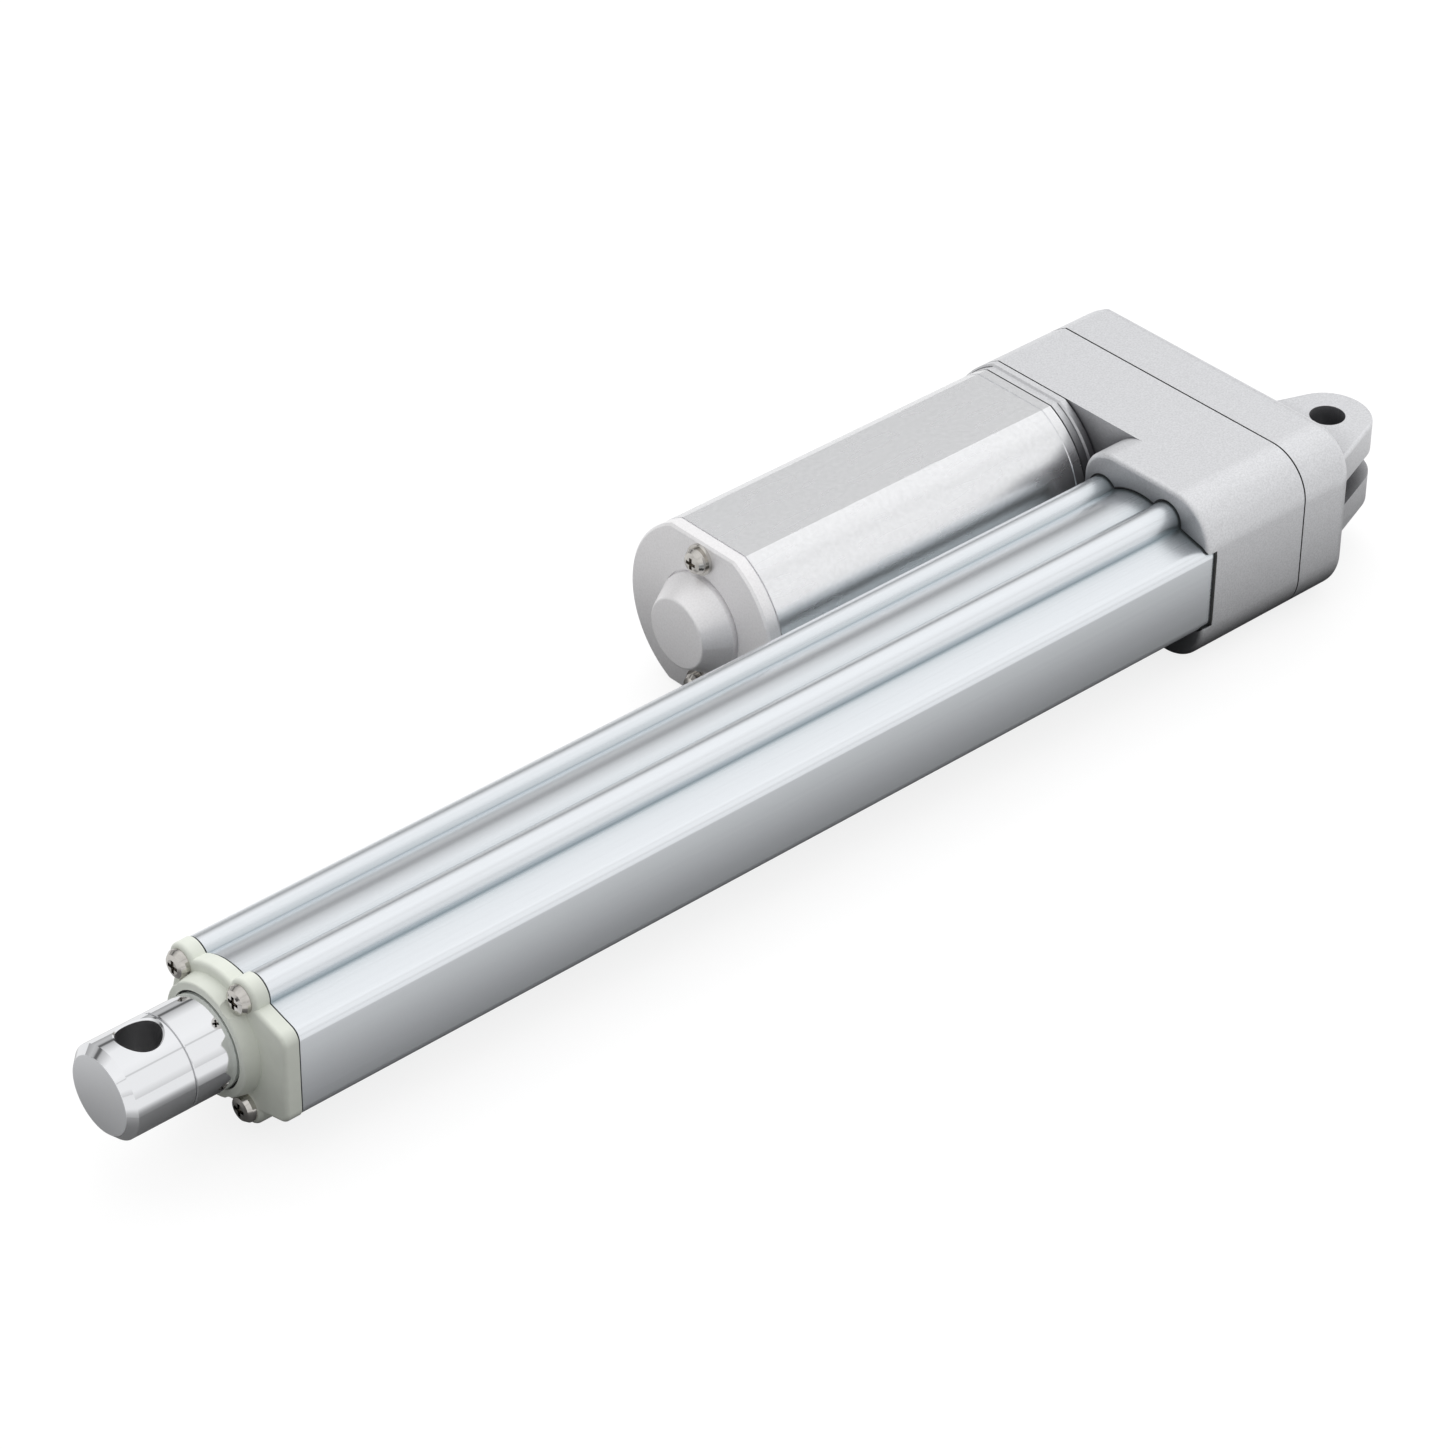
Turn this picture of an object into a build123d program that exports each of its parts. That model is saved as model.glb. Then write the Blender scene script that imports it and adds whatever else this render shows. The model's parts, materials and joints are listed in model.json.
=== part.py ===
from build123d import *
import math
import os

# Electric linear actuator with its motor beside the tube. Sizes are in millimetres.
# X runs along the rod as it comes out, Z along both pivot bores, and the origin is the
# centre of the rear clevis bore. The motor lies beside the tube, towards -Y.

# Travel, fits and clearances
stroke = 200.0
running_gap = 0.05
sliding_gap = 0.15
free_gap = 0.3

# Rod and its end fitting
rod_radius = 10.0
rod_wall = 2.0
rod_stand_out = 24.8
rod_end_length = 15.3
rod_end_spigot = 14.0
rod_end_chamfer = 1.7
rod_joint_chamfer = 0.15
rod_joint_groove_width = 0.45
rod_joint_groove_depth = 0.5
pin_hole_radius = 4.5
pin_hole_setback = 9.7
pin_hole_chamfer = 0.4

# Rear clevis, in one piece with the gearbox cover
clevis_bore_radius = 4.0
clevis_tip_radius = 10.0
clevis_half_thickness = 10.5
clevis_slot_width = 6.2
clevis_flare = 20.0
clevis_reach = 14.0
clevis_slot_floor = 3.0
clevis_edge_radius = 0.8

# Gearbox case: housing and cover
case_half_height = 20.3
case_side = 20.3
case_corner_radius = 10.5
case_end_radius = 22.8
case_wall = 3.5
case_back_edge_radius = 3.0
cover_depth = 14.8
case_gasket_thickness = 0.4
case_gasket_inset = 0.4
housing_depth = 20.6
front_wall = 3.8
case_screw_radius = 1.5
case_screw_head_radius = 2.75
case_screw_head_height = 2.6
case_screw_sink = 4.0
case_screw_grip = 9.0
case_post_radius = 3.3
case_post_inset_y = 6.2
case_post_inset_z = 6.2
case_post_motor_side = 10.0

# Collar that holds the tube
collar_length = 6.4
collar_lip = 2.8
collar_inner_side = 17.0
collar_inner_radius = 8.0
collar_slot_half_height = 9.5
collar_edge_radius = 1.1
tube_gasket_thickness = 0.5
tube_pocket_gap = 0.5
tube_gasket_gap = 0.1
tube_gasket_setback = 0.2

# Tube extrusion
barrel_radius = 14.8
bore_radius = 12.4
boss_radius = 3.8
boss_pitch_radius = 15.1
outer_boss_angle = 59.0
inner_boss_angle = 136.6
boss_hole_radius = 1.6
channel_side = 20.0
channel_half_height = 9.95
channel_slope = 13.9
channel_start = 4.0
channel_corner_radius = 2.5
channel_wall = 1.8
key_slot_half_height = 3.5

# Front cap
cap_gasket_thickness = 0.4
cap_gasket_inset = 0.2
cap_plate_thickness = 3.55
cap_overhang = 0.2
cap_edge_radius = 0.9
cap_ring_height = 3.25
cap_ring_base_radius = 12.8
cap_ring_front_radius = 12.1
cap_ring_edge_radius = 0.4
cap_spigot_length = 12.0
cap_screw_head_radius = 3.1
cap_screw_head_height = 2.1
cap_screw_length = 14.0
wiper_radius = 11.5
wiper_length = 3.4
wiper_lip_length = 0.8
wiper_lip_thickness = 0.9
wiper_heel_length = 1.0
cap_mouth_gap = 0.4
cap_mouth_length = 0.8
bush_wall = 1.3
bush_length = 11.0

# Drive nut and its guide key
nut_body_length = 16.0
nut_socket_length = 10.0
nut_back_play = 4.0
nut_front_play = 4.1
nut_chamfer = 0.8
key_half_height = 3.2
key_reach = 14.4
key_length = 18.0
key_setback = 2.0
nut_magnet_radius = 1.5
nut_magnet_length = 3.0

# Spindle and its bearings
spindle_radius = 5.0
journal_radius = 4.0
rear_journal_radius = 2.5
stop_clearance = 2.0
stop_disc_thickness = 3.0
stop_screw_head_radius = 2.8
stop_screw_head_height = 1.8
stop_screw_radius = 1.5
stop_screw_length = 8.0
ball_bearing_radius = 11.0
ball_bearing_width = 7.0
ball_bearing_lip = 2.2
ball_bearing_lip_depth = 2.0
ball_radius = 1.98
ball_pitch_radius = 7.5
ball_count = 7
ball_gap = 0.06
race_land_radius = 1.15
cage_half_thickness = 0.55
cage_length = 5.4
rear_bush_radius = 5.0
rear_bush_length = 5.0
rear_bush_boss_wall = 2.1
circlip_thickness = 0.8
circlip_depth = 0.6
circlip_reach = 1.9
circlip_land = 1.2

# Gear train: motor pinion, idler wheel, idler pinion, spindle gear
gear_module = 0.8
pressure_angle = 20.0
motor_pinion_teeth = 14
idler_wheel_teeth = 36
idler_pinion_teeth = 20
spindle_gear_teeth = 36
addendum_factor = 0.9
dedendum_factor = 1.25
backlash = 0.12
wheel_width = 6.0
pinion_extra = 1.0
spindle_gear_width = 8.5
gear_side_gap = 1.6
spindle_hub_radius = 5.9
idler_axle_radius = 2.5
idler_hub_radius = 5.0
axle_socket = 2.0
washer_thickness = 0.8
washer_radius = 4.6
web_recess = 1.4
web_hole_radius = 1.7
web_hole_count = 6
rim_width = 2.2

# Motor
motor_radius = 22.2
motor_flat_inset = 0.4
motor_wall = 1.6
motor_flange_length = 4.3
motor_flange_step = 2.2
motor_flange_bevel = 0.4
motor_seam_width = 0.35
motor_seam_depth = 0.6
can_bead_setback = 2.4
can_bead_depth = 0.2
motor_can_length = 89.1
motor_cap_thickness = 3.6
motor_cap_bevel = 0.5
motor_boss_base_radius = 11.4
motor_boss_front_radius = 8.1
motor_boss_height = 6.8
motor_boss_rim = 1.0
motor_boss_edge_radius = 0.6
motor_boss_front_wall = 2.0
motor_boss_groove_width = 0.5
motor_boss_groove_depth = 0.6
motor_shaft_radius = 2.5
motor_bush_radius = 5.5
motor_bush_length = 6.0
motor_spigot_radius = 8.0
motor_bolt_radius = 1.5
motor_bolt_height = 15.9
motor_bolt_head_radius = 2.9
motor_bolt_head_height = 2.2
motor_washer_radius = 3.5
motor_washer_thickness = 0.8
mount_screw_height = 12.5
mount_screw_length = 8.0
armature_radius = 13.6
armature_length = 36.0
armature_setback = 18.0
armature_slots = 10
slot_width = 2.4
slot_depth = 6.0
winding_radius = 12.4
winding_overhang = 8.0
winding_taper = 3.0
winding_shaft_gap = 1.5
winding_straight_share = 0.6
magnet_inner_radius = 14.3
magnet_half_angle = 48.0
magnet_length = 44.0
commutator_radius = 6.5
commutator_length = 10.0
bar_gap_width = 0.4
bar_gap_depth = 0.6
brush_plate_thickness = 1.6
brush_plate_gap = 1.5
brush_width = 4.0
brush_length = 5.0
brush_spring_length = 4.0
brush_spring_radius = 1.6
brush_guide_wall = 0.8

# Travel sensing in the tube's channel
board_thickness = 1.0
board_half_height = 5.5
board_end_margin = 6.0
sensor_radius = 1.1
sensor_length = 14.0

# Cable outlet in the underside of the housing
outlet_radius = 3.6
outlet_lip = 0.8
outlet_setback_y = 30.0
outlet_recess = 0.3
outlet_rim = 1.4
outlet_dish_depth = 1.2

# Places along X that follow from the sizes above
cover_back = clevis_reach
cover_front = cover_back + cover_depth
housing_back = cover_front + case_gasket_thickness
wall_front = housing_back + housing_depth
wall_back = wall_front - front_wall
tube_seat = wall_front + collar_length
collar_front = tube_seat + collar_lip
tube_back = tube_seat + tube_gasket_thickness
nut_back = tube_back + nut_back_play
nut_thread_front = nut_back + nut_body_length
nut_front = nut_thread_front + nut_socket_length
tube_front = nut_front + stroke + nut_front_play + cap_spigot_length
plate_back = tube_front + cap_gasket_thickness
plate_front = plate_back + cap_plate_thickness
cap_face = plate_front + cap_ring_height
rod_front = cap_face + rod_stand_out
rod_joint = rod_front - rod_end_length
pin_hole_x = rod_front - pin_hole_setback
cavity_back = cover_back + case_wall
motor_half_flat = case_half_height - motor_flat_inset
bearing_front = tube_seat - ball_bearing_lip
bearing_back = bearing_front - ball_bearing_width
wheel_front = wall_back - case_screw_head_height - gear_side_gap
wheel_back = wheel_front - wheel_width
spindle_gear_front = wheel_back - gear_side_gap
spindle_gear_back = spindle_gear_front - spindle_gear_width
flange_front = wall_front + motor_flange_length
can_front = flange_front + motor_can_length
motor_cap_front = can_front + motor_cap_thickness
motor_boss_front = motor_cap_front + motor_boss_height
stop_disc_back = nut_thread_front + stroke + stop_clearance
spindle_front = stop_disc_back

# Places across X
idler_y = -gear_module * (idler_pinion_teeth + spindle_gear_teeth) / 2
motor_y = idler_y - gear_module * (motor_pinion_teeth + idler_wheel_teeth) / 2
motor_inner_radius = motor_radius - motor_wall
rod_inner_radius = rod_radius - rod_wall
bush_radius = rod_radius + running_gap + bush_wall


def prism(sketch, x_from, x_to):
    """A sketch drawn on Y and Z, extruded from one X to another."""
    return extrude(Plane.YZ.offset(x_from) * sketch, x_to - x_from)


def round_bar(radius, x_from, x_to, y=0.0, z=0.0):
    """A plain bar along X."""
    return prism(Pos(y, z) * Circle(radius), x_from, x_to)


def tube_ring(outer, inner, x_from, x_to, y=0.0, z=0.0):
    """A plain ring along X."""
    return prism(Pos(y, z) * (Circle(outer) - Circle(inner)), x_from, x_to)


def turned(points, y=0.0, z=0.0):
    """A solid of revolution about an axis along X; points are pairs of X and radius."""
    face = make_face(Polyline(*[(x, radius) for x, radius in points], close=True))
    return Pos(0, y, z) * revolve(face, Axis.X, 360)


def band(y_from, y_to, half_height):
    """A rectangle between two Y values, even about Z = 0."""
    return Pos((y_from + y_to) / 2, 0) * Rectangle(y_to - y_from, 2 * half_height)


def at_angle(radius, degrees):
    """Y and Z of a point at a radius and an angle about the spindle."""
    return radius * math.cos(math.radians(degrees)), radius * math.sin(math.radians(degrees))


def spread(sketch, radius, count):
    """Copies of a sketch, evenly round a circle."""
    return Sketch() + [place * sketch for place in PolarLocations(radius, count)]


def mirrored_pairs(points):
    """Each point and its mirror image below the middle plane."""
    return [(y, sign * z) for y, z in points for sign in (1, -1)]


boss_places = mirrored_pairs(
    [at_angle(boss_pitch_radius, outer_boss_angle), at_angle(boss_pitch_radius, inner_boss_angle)]
)
post_places = mirrored_pairs(
    [
        (case_side - case_post_inset_y, case_half_height - case_post_inset_z),
        (motor_y - case_post_motor_side, case_half_height - case_post_inset_z),
    ]
)
motor_bolt_places = [(motor_y, motor_bolt_height), (motor_y, -motor_bolt_height)]
mount_screw_places = [(motor_y, mount_screw_height), (motor_y, -mount_screw_height)]


def corner_points(sketch, y):
    """The sketch's corners that lie on the line at y."""
    return sketch.vertices().filter_by(lambda corner: math.isclose(corner.X, y, abs_tol=1e-4))


# Outlines seen along the spindle
def tube_outline(grow=0.0):
    """Outer outline of the tube extrusion: barrel, four screw bosses and side channel."""
    slope = math.tan(math.radians(channel_slope))
    side = channel_side + grow
    rise = grow / math.cos(math.radians(channel_slope))
    edge_height = channel_half_height + rise - grow * slope
    start_height = edge_height + (side - channel_start) * slope
    channel = Polygon(
        (channel_start, start_height),
        (channel_start, -start_height),
        (side, -edge_height),
        (side, edge_height),
        align=None,
    )
    channel = fillet(corner_points(channel, side), channel_corner_radius + grow)
    outline = Circle(barrel_radius + grow) + channel
    for y, z in boss_places:
        outline += Pos(y, z) * Circle(boss_radius + grow)
    return outline


def case_outline(inset=0.0):
    """Outline of the gearbox case, drawn in by an inset."""
    half = case_half_height - inset
    side = case_side - inset
    body = band(motor_y, side, half)
    body = fillet(corner_points(body, side), case_corner_radius - inset)
    reach = motor_y - case_end_radius
    return body + (Pos(motor_y, 0) * Circle(case_end_radius - inset) & band(reach, motor_y, half))


def motor_outline(radius, half_flat):
    """A circle about the motor's axis with its top and bottom cut flat."""
    return Pos(motor_y, 0) * (Circle(radius) & Rectangle(2 * radius, 2 * half_flat))


# Gears
def involute(angle):
    return math.tan(angle) - angle


def gear_sketch(teeth, first_tooth=0.0):
    """A spur gear's outline with involute flanks, its first tooth at an angle in degrees."""
    pressure = math.radians(pressure_angle)
    pitch = gear_module * teeth / 2
    base = pitch * math.cos(pressure)
    tip = pitch + addendum_factor * gear_module
    root = pitch - dedendum_factor * gear_module
    start = max(base, root)
    middle = (start + tip) / 2

    def half_angle(radius):
        flank = involute(pressure) - involute(math.acos(base / radius))
        return math.pi / (2 * teeth) - backlash / (4 * pitch) + flank

    def point(radius, angle):
        return radius * math.cos(angle), radius * math.sin(angle)

    edges = []
    for tooth in range(teeth):
        centre = math.radians(first_tooth) + 2 * math.pi * tooth / teeth
        foot = half_angle(start)
        following = centre + 2 * math.pi / teeth - foot
        gap_middle = centre + math.pi / teeth
        rising = [point(r, centre - half_angle(r)) for r in (start, middle, tip)]
        falling = [point(r, centre + half_angle(r)) for r in (tip, middle, start)]
        if start > root:
            edges.append(Line(point(root, centre - foot), rising[0]))
        edges.append(ThreePointArc(*rising))
        edges.append(Line(rising[-1], falling[0]))
        edges.append(ThreePointArc(*falling))
        if start > root:
            edges.append(Line(falling[-1], point(root, centre + foot)))
        edges.append(
            ThreePointArc(point(root, centre + foot), point(root, gap_middle), point(root, following))
        )
    return make_face(edges)


def lighten(wheel, teeth, hub_radius, x_from, x_to, y):
    """Recess both sides of a wheel between hub and rim, and drill its web."""
    rim = gear_module * (teeth / 2 - dedendum_factor) - rim_width
    wheel -= tube_ring(rim, hub_radius, x_from, x_from + web_recess, y)
    wheel -= tube_ring(rim, hub_radius, x_to - web_recess, x_to, y)
    hole_circle = (rim + hub_radius) / 2
    holes = spread(Circle(web_hole_radius), hole_circle, web_hole_count)
    return wheel - prism(Pos(y, 0) * holes, x_from, x_to)


# Screws
recess_arm_share = 0.95
recess_width_share = 0.28
recess_depth_share = 0.6
head_wall_share = 0.45
head_round_share = 0.85
head_round_radius_share = 0.8


def recess_cross(x_face, depth, radius, y, z, towards=1):
    """A cross recess cut into a screw head whose face is at x_face."""
    arm = radius * recess_arm_share
    thickness = radius * recess_width_share
    cross = Rectangle(arm, thickness) + Rectangle(thickness, arm)
    return prism(Pos(y, z) * cross, x_face - towards * depth, x_face)


def pan_screw(head_back, head_radius, head_height, shank_radius, length, y, z, towards=1):
    """A pan-head screw along X; towards is 1 where its head faces +X, and -1 where it faces -X."""
    face = head_back + towards * head_height
    profile = [
        (head_back - towards * length, 0),
        (head_back - towards * length, shank_radius),
        (head_back, shank_radius),
        (head_back, head_radius),
        (head_back + towards * head_height * head_wall_share, head_radius),
        (head_back + towards * head_height * head_round_share, head_radius * head_round_radius_share),
        (face, head_radius * 0.5),
        (face, 0),
    ]
    screw = turned(profile, y, z)
    return screw - recess_cross(face, head_height * recess_depth_share, head_radius, y, z, towards)


# Gearbox cover with the clevis
def clevis():
    """Both ears in one block, flaring tangentially from the rounded tip to the cover."""
    flare = math.radians(clevis_flare)
    touch_x = -clevis_tip_radius * math.sin(flare)
    touch_y = clevis_tip_radius * math.cos(flare)
    root_x = cover_back + case_wall / 2
    root_y = touch_y + (root_x - touch_x) * math.tan(flare)
    plan = make_face(
        [
            ThreePointArc((touch_x, touch_y), (-clevis_tip_radius, 0), (touch_x, -touch_y)),
            Line((touch_x, -touch_y), (root_x, -root_y)),
            Line((root_x, -root_y), (root_x, root_y)),
            Line((root_x, root_y), (touch_x, touch_y)),
        ]
    )
    block = extrude(plan, clevis_half_thickness, both=True)
    rims = block.edges().filter_by(Plane.XY).group_by(Axis.Z)
    outer = [edge for edge in rims[0] + rims[-1] if edge.center().X < cover_back]
    return fillet(outer, clevis_edge_radius)


def clevis_cuts():
    """The slot between the ears and the pivot bore through them."""
    slot_floor = cover_back - clevis_slot_floor
    reach = 2 * clevis_tip_radius
    width = 2 * (case_side + case_half_height)
    slot = Pos(slot_floor - reach, 0, 0) * Box(2 * reach, width, clevis_slot_width)
    return slot + Cylinder(clevis_bore_radius, 4 * clevis_half_thickness)


def case_cavity(x_from, x_to):
    """The hollow of the case, with the screw posts and their side walls left standing."""
    hollow = case_outline(case_wall)
    for y, z in post_places:
        side = math.copysign(case_half_height, z)
        hollow -= Pos(y, z) * Circle(case_post_radius)
        hollow -= Pos(y, (z + side) / 2) * Rectangle(2 * case_post_radius, abs(side - z))
    return prism(hollow, x_from, x_to)


def make_gearbox_cover():
    body = prism(case_outline(), cover_back, cover_front)
    back_edges = body.edges().group_by(Axis.X)[0]
    body = fillet(back_edges, case_back_edge_radius)
    body += clevis()
    body -= case_cavity(cavity_back, cover_front)
    bush_boss_radius = rear_bush_radius + rear_bush_boss_wall
    body += round_bar(bush_boss_radius, cavity_back, cavity_back + rear_bush_length)
    body += round_bar(idler_hub_radius, cavity_back, idler_washer_back(), idler_y)
    body -= round_bar(rear_bush_radius, cavity_back, cavity_back + rear_bush_length)
    body -= round_bar(rear_journal_radius + free_gap, cavity_back - free_gap, cavity_back)
    body -= round_bar(idler_axle_radius, cavity_back - axle_socket, cover_front, idler_y)
    for y, z in post_places:
        body -= round_bar(case_screw_radius + free_gap, cover_back, cover_front, y, z)
        body -= round_bar(
            case_screw_head_radius + free_gap, cover_back, cover_back + case_screw_sink, y, z
        )
    return body - clevis_cuts()


def case_screw_seat():
    return cover_back + case_screw_sink


def make_cover_screws():
    length = cover_front + case_gasket_thickness + case_screw_grip - case_screw_seat()
    return [
        pan_screw(
            case_screw_seat(),
            case_screw_head_radius,
            case_screw_head_height,
            case_screw_radius,
            length,
            y,
            z,
            towards=-1,
        )
        for y, z in post_places
    ]


def make_case_gasket():
    """A flat seal that follows the rims and posts of the case."""
    outline = case_outline(case_gasket_inset) - case_outline(case_wall)
    for y, z in post_places:
        side = math.copysign(case_half_height - case_gasket_inset - free_gap, z)
        outline += Pos(y, z) * Circle(case_post_radius)
        outline += Pos(y, (z + side) / 2) * Rectangle(2 * case_post_radius, abs(side - z))
    outline &= case_outline(case_gasket_inset)
    for y, z in post_places:
        outline -= Pos(y, z) * Circle(case_screw_radius + free_gap)
    return prism(outline, cover_front, housing_back)


# Gearbox housing with the collar
def collar_outline():
    collar = band(-collar_inner_side, case_side, case_half_height)
    collar = fillet(corner_points(collar, case_side), case_corner_radius)
    return fillet(
        corner_points(collar, -collar_inner_side),
        collar_inner_radius,
    )


def open_side():
    """Where the collar stays open towards +Y and shows the tube's side face."""
    return band(channel_side - channel_wall, case_side + case_wall, collar_slot_half_height)


def make_gearbox_housing():
    body = prism(case_outline(), housing_back, wall_front)
    collar = prism(collar_outline(), wall_front - front_wall / 2, collar_front)
    collar = fillet(collar.edges().group_by(Axis.X)[-1], collar_edge_radius)
    body += collar
    body -= case_cavity(housing_back, wall_back)
    body += round_bar(idler_hub_radius, idler_washer_front(), wall_back, idler_y)
    # pocket for the tube, open towards +Y where the channel's side face shows
    body -= prism(tube_outline(tube_pocket_gap) + open_side(), tube_seat, collar_front)
    # spindle bearing seat, circlip groove and lip
    body -= round_bar(ball_bearing_radius, wall_back, bearing_front)
    body -= round_bar(ball_bearing_radius - ball_bearing_lip_depth, bearing_front, tube_seat)
    body -= round_bar(
        ball_bearing_radius + circlip_depth, bearing_back - circlip_thickness, bearing_back
    )
    # motor spigot hole, idler axle socket and screw holes
    body -= round_bar(motor_spigot_radius + running_gap, wall_back, wall_front, motor_y)
    body -= round_bar(idler_axle_radius, idler_washer_front(), wall_back + axle_socket, idler_y)
    for y, z in boss_places:
        body -= round_bar(boss_hole_radius + free_gap, wall_back, tube_seat, y, z)
    for y, z in mount_screw_places:
        body -= round_bar(motor_bolt_radius + free_gap, wall_back, wall_front, y, z)
    for y, z in post_places:
        body -= round_bar(case_screw_radius, housing_back, housing_back + case_screw_grip, y, z)
    # cable outlet through the underside
    outlet = Pos(outlet_x(), -outlet_setback_y, -case_half_height + case_wall / 2)
    return body - outlet * Cylinder(outlet_radius, case_wall + 2 * free_gap)


def outlet_x():
    return (housing_back + wall_back) / 2


def make_cable_grommet():
    """A rubber grommet with a lip inside the wall, closed by a thin skin."""
    bottom = -case_half_height + outlet_recess
    inside = -case_half_height + case_wall
    profile = [
        (0, bottom + outlet_dish_depth),
        (outlet_radius - outlet_rim, bottom + outlet_dish_depth),
        (outlet_radius - outlet_rim, bottom),
        (outlet_radius, bottom),
        (outlet_radius, inside),
        (outlet_radius + outlet_lip, inside),
        (outlet_radius + outlet_lip, inside + outlet_lip),
        (0, inside + outlet_lip),
    ]
    face = make_face(Plane.XZ * Polyline(*profile, close=True))
    return Pos(outlet_x(), -outlet_setback_y, 0) * revolve(face, Axis.Z, 360)


# Tube, cap and seals
def make_outer_tube():
    section = tube_outline() - Circle(bore_radius)
    slope = math.tan(math.radians(channel_slope))
    inner_side = channel_side - channel_wall
    drop = channel_wall / math.cos(math.radians(channel_slope))
    edge_height = channel_half_height - drop + channel_wall * slope
    start_height = edge_height + (inner_side - bore_radius) * slope
    chamber = Polygon(
        (bore_radius, start_height),
        (bore_radius, -start_height),
        (inner_side, -edge_height),
        (inner_side, edge_height),
        align=None,
    )
    section -= chamber - Circle(barrel_radius)
    section -= band(bore_radius - 1.0, barrel_radius + 1.0, key_slot_half_height)
    for y, z in boss_places:
        section -= Pos(y, z) * Circle(boss_hole_radius)
    return prism(section, tube_back, tube_front)


def make_tube_gasket():
    """A seal behind the tube's rear end, with a sleeve that fills the collar's gap round it."""
    outside = tube_outline(tube_pocket_gap - tube_gasket_gap)
    face = outside - Circle(bore_radius)
    for y, z in boss_places:
        face -= Pos(y, z) * Circle(boss_hole_radius + free_gap)
    sleeve = outside - tube_outline(tube_gasket_gap) - open_side()
    return prism(face, tube_seat, tube_back) + prism(
        sleeve, tube_seat, collar_front - tube_gasket_setback
    )


def make_tube_screws():
    return [
        pan_screw(
            wall_back,
            case_screw_head_radius,
            case_screw_head_height,
            boss_hole_radius,
            tube_back - wall_back + case_screw_grip,
            y,
            z,
            towards=-1,
        )
        for y, z in boss_places
    ]


def make_cap_gasket():
    outline = tube_outline(-cap_gasket_inset) - Circle(bore_radius)
    for y, z in boss_places:
        outline -= Pos(y, z) * Circle(boss_hole_radius + free_gap)
    return prism(outline, tube_front, plate_back)


def make_front_cap():
    plate = prism(tube_outline(cap_overhang), plate_back, plate_front)
    plate = fillet(plate.edges().group_by(Axis.X)[-1], cap_edge_radius)
    raised = turned(
        [
            (plate_front - cap_edge_radius, 0),
            (plate_front - cap_edge_radius, cap_ring_base_radius),
            (plate_front, cap_ring_base_radius),
            (cap_face, cap_ring_front_radius),
            (cap_face, 0),
        ]
    )
    spigot = round_bar(bore_radius - running_gap, tube_front - cap_spigot_length, plate_back)
    body = plate + raised + spigot
    body = fillet(body.edges().group_by(Axis.X)[-1], cap_ring_edge_radius)
    bush_front = tube_front - cap_spigot_length + bush_length
    body -= round_bar(bush_radius, tube_front - cap_spigot_length, bush_front)
    body -= round_bar(rod_radius + free_gap, bush_front, cap_face)
    body -= round_bar(wiper_radius, wiper_front() - wiper_length, wiper_front())
    body -= round_bar(rod_radius + cap_mouth_gap, wiper_front(), cap_face)
    for y, z in boss_places:
        body -= round_bar(boss_hole_radius + free_gap, plate_back, plate_front, y, z)
        body -= round_bar(cap_screw_head_radius + free_gap, plate_front, cap_face, y, z)
    return body


def make_cap_screws():
    return [
        pan_screw(
            plate_front,
            cap_screw_head_radius,
            cap_screw_head_height,
            boss_hole_radius,
            cap_screw_length,
            y,
            z,
        )
        for y, z in boss_places
    ]


def make_rod_guide_bush():
    back = tube_front - cap_spigot_length
    return tube_ring(bush_radius, rod_radius + running_gap, back, back + bush_length)


def wiper_front():
    return cap_face - cap_mouth_length


def make_rod_wiper():
    """A wiper ring with its lip leaning towards the rod at the front."""
    front = wiper_front()
    back = front - wiper_length
    lip = rod_radius + running_gap
    return turned(
        [
            (back, rod_radius + free_gap),
            (back, wiper_radius),
            (front, wiper_radius),
            (front, rod_radius + wiper_lip_thickness),
            (front, lip),
            (front - wiper_lip_length, lip),
            (back + wiper_heel_length, rod_radius + free_gap),
        ]
    )


# Rod and drive nut
def make_rod_tube():
    body = tube_ring(rod_radius, rod_inner_radius, nut_thread_front, rod_joint)
    rim = body.edges().group_by(Axis.X)[-1].sort_by(SortBy.RADIUS)[-1]
    return chamfer(rim, rod_joint_chamfer)


def make_rod_end():
    """The end fitting: a chamfered head, a spigot in the rod tube and a cross hole."""
    body = turned(
        [
            (rod_joint - rod_end_spigot, 0),
            (rod_joint - rod_end_spigot, rod_inner_radius),
            (rod_joint, rod_inner_radius),
            (rod_joint, rod_radius - rod_joint_groove_depth),
            (rod_joint + rod_joint_groove_width, rod_radius - rod_joint_groove_depth),
            (rod_joint + rod_joint_groove_width, rod_radius),
            (rod_front - rod_end_chamfer, rod_radius),
            (rod_front, rod_radius - rod_end_chamfer),
            (rod_front, 0),
        ]
    )
    body -= Pos(pin_hole_x, 0, 0) * Cylinder(pin_hole_radius, 4 * rod_radius)
    rims = body.edges().filter_by(
        lambda edge: abs(edge.bounding_box().center().X - pin_hole_x) < 1.0
        and abs(edge.bounding_box().center().Z) > rod_radius / 2
    )
    return chamfer(rims, pin_hole_chamfer)


def make_drive_nut():
    """The nut that runs on the spindle, with a key in the tube's slot against turning."""
    outer = bore_radius - sliding_gap
    body = turned(
        [
            (nut_back, spindle_radius + running_gap),
            (nut_back, outer - nut_chamfer),
            (nut_back + nut_chamfer, outer),
            (nut_front - nut_chamfer, outer),
            (nut_front, outer - nut_chamfer),
            (nut_front, rod_radius),
            (nut_thread_front, rod_radius),
            (nut_thread_front, spindle_radius + running_gap),
        ]
    )
    key = band(bore_radius - 2.0, key_reach, key_half_height)
    key_back = nut_back + key_setback
    body += prism(key, key_back, key_back + key_length) - round_bar(
        rod_radius + free_gap, nut_back, nut_front
    )
    return body - magnet_bar()


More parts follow.
